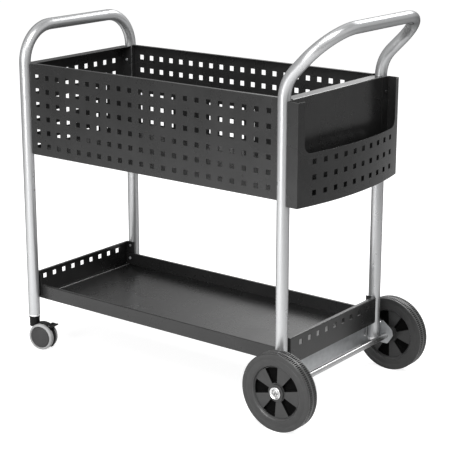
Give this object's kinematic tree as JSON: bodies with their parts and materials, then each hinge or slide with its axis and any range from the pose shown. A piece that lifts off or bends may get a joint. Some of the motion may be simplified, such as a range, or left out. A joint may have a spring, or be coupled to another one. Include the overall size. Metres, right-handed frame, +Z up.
{
  "type": "mail cart",
  "caption": "Wheeled mail cart: bent-tube frame with push handle, perforated sheet-metal basket, bowed document pocket, lower shelf, fixed rear wheels and braked front casters.",
  "frame": {"origin": "bottom centre of the bounding box, on the floor", "axes": "+X toward the push handle, +Z up, -Y the left side for someone pushing"},
  "size_m": [1.0278, 0.5724, 1.0079],
  "materials": {
    "frame_silver": "satin silver powder coat",
    "panel_black": "charcoal powder coat",
    "bracket_zinc": "zinc plated",
    "bright_steel": "bright plated",
    "tyre_grey": "moulded rubber",
    "hub_grey": "moulded",
    "caster_black": "moulded",
    "caster_tread": "moulded pale grey",
    "caster_disc": "moulded"
  },
  "bodies": {
    "cart": {"axle_bracket": "bracket_zinc", "axle_rod": "bright_steel", "axle_spacers": "bright_steel", "basket_end_front": "panel_black", "basket_end_rear": "panel_black", "basket_floor": "panel_black", "basket_screws": "bright_steel", "basket_side_left": "panel_black", "basket_side_right": "panel_black", "bracket_rivets": "bright_steel", "bracket_screws": "bright_steel", "document_pocket": "panel_black", "front_frame_tube": "frame_silver", "pocket_screws": "bright_steel", "rear_frame_tube": "frame_silver", "rear_wheel_left_cap": "bright_steel", "rear_wheel_right_cap": "bright_steel", "shelf_end_front": "panel_black", "shelf_end_rear": "panel_black", "shelf_screws": "bright_steel", "shelf_tray": "panel_black", "stem_sockets": "caster_black"},
    "rear_wheel_left": {"rear_wheel_left_tyre": "tyre_grey", "rear_wheel_left_hub": "hub_grey"},
    "caster_left": {"caster_left_body": "caster_black", "caster_left_stem": "bright_steel", "caster_left_axle_pin": "bright_steel", "caster_left_pedal_pin": "bright_steel"},
    "caster_left_inner_wheel": {"caster_left_inner_tread": "caster_tread", "caster_left_inner_disc": "caster_disc"},
    "caster_left_outer_wheel": {"caster_left_outer_tread": "caster_tread", "caster_left_outer_disc": "caster_disc"},
    "caster_left_pedal": {"caster_left_pedal": "caster_black"},
    "rear_wheel_right": {"rear_wheel_right_tyre": "tyre_grey", "rear_wheel_right_hub": "hub_grey"},
    "caster_right": {"caster_right_body": "caster_black", "caster_right_stem": "bright_steel", "caster_right_axle_pin": "bright_steel", "caster_right_pedal_pin": "bright_steel"},
    "caster_right_inner_wheel": {"caster_right_inner_tread": "caster_tread", "caster_right_inner_disc": "caster_disc"},
    "caster_right_outer_wheel": {"caster_right_outer_tread": "caster_tread", "caster_right_outer_disc": "caster_disc"},
    "caster_right_pedal": {"caster_right_pedal": "caster_black"}
  },
  "joints": [
    {"name": "rear_wheel_left_spin", "type": "hinge", "parent": "cart", "child": "rear_wheel_left", "pos_m": [0.3967, -0.2663, 0.1016], "axis": [0, 1, 0], "continuous": true},
    {"name": "caster_left_swivel", "type": "hinge", "parent": "cart", "child": "caster_left", "pos_m": [-0.498, -0.218, 0.092], "axis": [0, 0, 1], "continuous": true},
    {"name": "caster_left_inner_spin", "type": "hinge", "parent": "caster_left", "child": "caster_left_inner_wheel", "pos_m": [-0.47277, -0.20107, 0.038], "axis": [-0.1908, 0.9816, 0], "continuous": true},
    {"name": "caster_left_outer_spin", "type": "hinge", "parent": "caster_left", "child": "caster_left_outer_wheel", "pos_m": [-0.46826, -0.22424, 0.038], "axis": [-0.1908, 0.9816, 0], "continuous": true},
    {"name": "caster_left_brake", "type": "hinge", "parent": "caster_left", "child": "caster_left_pedal", "pos_m": [-0.44499, -0.2077, 0.0735], "axis": [-0.1908, 0.9816, 0], "range_deg": [0, 18]},
    {"name": "rear_wheel_right_spin", "type": "hinge", "parent": "cart", "child": "rear_wheel_right", "pos_m": [0.3967, 0.2663, 0.1016], "axis": [0, 1, 0], "continuous": true},
    {"name": "caster_right_swivel", "type": "hinge", "parent": "cart", "child": "caster_right", "pos_m": [-0.498, 0.218, 0.092], "axis": [0, 0, 1], "continuous": true},
    {"name": "caster_right_inner_spin", "type": "hinge", "parent": "caster_right", "child": "caster_right_inner_wheel", "pos_m": [-0.46826, 0.21176, 0.038], "axis": [-0.1908, 0.9816, 0], "continuous": true},
    {"name": "caster_right_outer_spin", "type": "hinge", "parent": "caster_right", "child": "caster_right_outer_wheel", "pos_m": [-0.47277, 0.23493, 0.038], "axis": [-0.1908, 0.9816, 0], "continuous": true},
    {"name": "caster_right_brake", "type": "hinge", "parent": "caster_right", "child": "caster_right_pedal", "pos_m": [-0.44499, 0.2283, 0.0735], "axis": [-0.1908, 0.9816, 0], "range_deg": [0, 18]}
  ]
}
